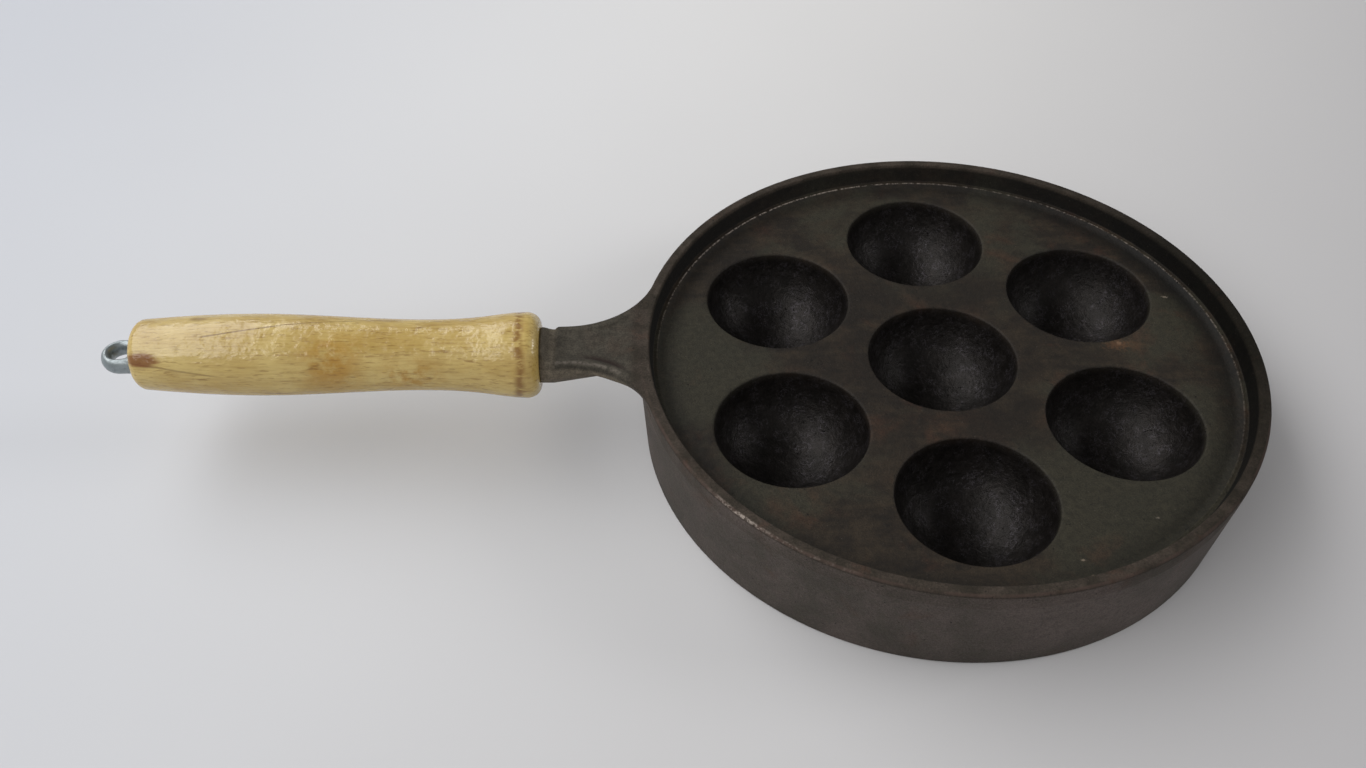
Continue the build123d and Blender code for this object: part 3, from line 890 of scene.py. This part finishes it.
steelLook = {"dark": rgb(108, 117, 119), "pale": rgb(148, 157, 160), "dull": rgb(92, 99, 100)}


# The zinc-coated steel: soft clouds and duller patches, with fine scratches along its height
def drawSteel(at):
    clouds = noise(at, 260.0, 3.0, 0.6)
    scratch = noise(stretch(at, (1, 1, 0.2)), 1600.0, 2.0, 0.6)
    dull = step(noise(at, 700.0, 3.0, 0.6), 0.5, 0.7)
    colour = mixColour(clouds, steelLook["dark"], steelLook["pale"])
    colour = mixColour(dull * 0.35, colour, steelLook["dull"])
    rough = 0.30 + clouds * 0.12 + dull * 0.2
    return {"Base Color": colour, "Roughness": rough,
            "Normal": bump(clouds * 2.0 + scratch * 0.3, 0.00030, 0.6)}


iron = finish("seasoned_iron", drawIron, {"IOR": 1.5, "Specular IOR Level": 0.25})
wood = finish("varnished_beech", drawWood, {"IOR": 1.5, "Specular IOR Level": 0.55})
steel = finish("zinc_steel", drawSteel, {"Metallic": 0.55, "IOR": 2.2})
for piece, material in [
        (panBody, iron), (boss, iron), (gripPiece, wood), (rodPiece, steel), (eyePiece, steel)]:
    piece.data.materials.append(material)
for piece, node, body, slot in [
        (panBody, "pan_casting", "pan", "iron"), (boss, "pan_casting", "pan", "iron"),
        (gripPiece, "wooden_grip", "grip", "wood"), (rodPiece, "eye_rod", "rod", "steel"),
        (eyePiece, "eye_rod", "rod", "steel")]:
    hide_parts(node)
    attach(piece, body)
print("materials done")

# The photograph's camera, in millimetres and the pan's frame
camera = {
    "at": (-98.36, -300.14, 324.08), "right": (0.99977, -0.02055, -0.00631),
    "up": (0.01953, 0.74593, 0.66574), "back": (-0.00898, -0.6657, 0.74616),
    "lens": 30.443, "sensor": 36.0, "shiftY": 60 / 1366, "clipStart": 0.02,
}
lens = bpy.data.cameras.new("photo_camera")
lens.lens = camera["lens"]
lens.sensor_width = camera["sensor"]
lens.shift_y = camera["shiftY"]
lens.clip_start = camera["clipStart"]
cameraObject = bpy.data.objects.new("photo_camera", lens)
cameraObject.matrix_world = Matrix.Translation(Vector(camera["at"]) * mm) @ Matrix(
    [camera["right"], camera["up"], camera["back"]]).transposed().to_4x4()
bpy.context.scene.collection.objects.link(cameraObject)
bpy.context.scene.camera = cameraObject

# A pale floor, its half width in metres. The light on it dies away to the right and a little at
# the far left, as soft steps along x and across a slanted line.
floorLook = {
    "half": 4.0, "colour": rgb(228, 227, 226), "cool": rgb(194, 197, 204), "right": rgb(162, 160, 163),
    "coolFrom": -0.55, "coolTo": 0.065, "slant": 0.64, "rightFrom": -0.43, "rightTo": 0.60,
}
half = floorLook["half"]
mesh = bpy.data.meshes.new("floor")
mesh.from_pydata([(-half, -half, 0), (half, -half, 0), (half, half, 0), (-half, half, 0)], [], [(0, 1, 2, 3)])
floor = bpy.data.objects.new("floor", mesh)
bpy.context.scene.collection.objects.link(floor)


# Soft clouds over both steps of its colour
def drawFloor(at):
    x, y = splitPoint(at)[:2]
    clouds = noise(at, 6.0, 2.0, 0.5)
    fromLeft = step(x, floorLook["coolFrom"], floorLook["coolTo"])
    toRight = step(x - floorLook["slant"] * y, floorLook["rightFrom"], floorLook["rightTo"])
    colour = mixColour(fromLeft, floorLook["cool"], floorLook["colour"])
    colour = mixColour(toRight, colour, floorLook["right"])
    return {"Base Color": mixColour(clouds * 0.10, colour, floorLook["right"])}


floor.data.materials.append(finish("pale_card", drawFloor, {"Roughness": 0.7, "Specular IOR Level": 0.2}))

# Two windows, a wide one to the left, over the grip, and a smaller one to the right. Azimuth and
# height are in degrees, and the rest in metres.
lamps = [
    {"name": "window_left", "azimuth": 175, "height": 50, "away": 1.5, "wide": 3.0, "tall": 0.75,
     "level": 0.81},
    {"name": "window_right", "azimuth": 2, "height": 28, "away": 1.7, "wide": 0.6, "tall": 0.5,
     "level": 0.10},
]
for lamp in lamps:
    light = bpy.data.lights.new(lamp["name"], "AREA")
    light.shape = "RECTANGLE"
    light.size = lamp["wide"]
    light.size_y = lamp["tall"]
    up = math.radians(lamp["height"])
    turn = math.radians(lamp["azimuth"])
    toLamp = Vector((math.cos(up) * math.cos(turn), math.cos(up) * math.sin(turn), math.sin(up)))
    # the power that lights level ground to the wanted level
    light.energy = lamp["level"] * math.pi**2 * lamp["away"]**2 / math.sin(up)
    facing = toLamp.to_track_quat("Z", "Y").to_matrix().to_4x4()
    holder = bpy.data.objects.new(lamp["name"], light)
    holder.matrix_world = Matrix.Translation(toLamp * lamp["away"]) @ facing
    bpy.context.scene.collection.objects.link(holder)

# A pale room that is dark at the back and overhead, which the cups show as their dark side, and
# a little darker on the right. Directions run from -1 to 1 along each axis.
roomLook = {
    "level": 0.58, "dark": 0.47, "right": 0.16, "backAt": 76, "backWide": 52,
    "backTop": (0.74, 0.96), "overheadUp": (0.62, 0.86), "overheadRight": (-0.45, 0.10),
    "rightSide": (0.1, 0.9),
}
world = bpy.data.worlds.new("soft_room")
world.use_nodes = True
Wire.tree = world.node_tree
room = Wire.tree.nodes["Background"]
toX, toY, toZ = splitPoint(Wire.add("ShaderNodeTexCoord", out="Generated"))
back = bandDegrees(mathNode("ARCTAN2", toY, toX), roomLook["backAt"], roomLook["backWide"])
back = back * (1 - step(toZ, *roomLook["backTop"]))
overhead = step(toZ, *roomLook["overheadUp"]) * step(toX, *roomLook["overheadRight"])
level = roomLook["level"] - roomLook["dark"] * back.math("MAXIMUM", overhead)
level = level - roomLook["right"] * step(toX, *roomLook["rightSide"])
Wire.tree.links.new(room.inputs["Strength"], level.socket)
room.inputs["Color"].default_value = (1, 1, 1, 1)
bpy.context.scene.world = world
bpy.context.scene.view_settings.view_transform = "Standard"
print("camera, floor and lights done")
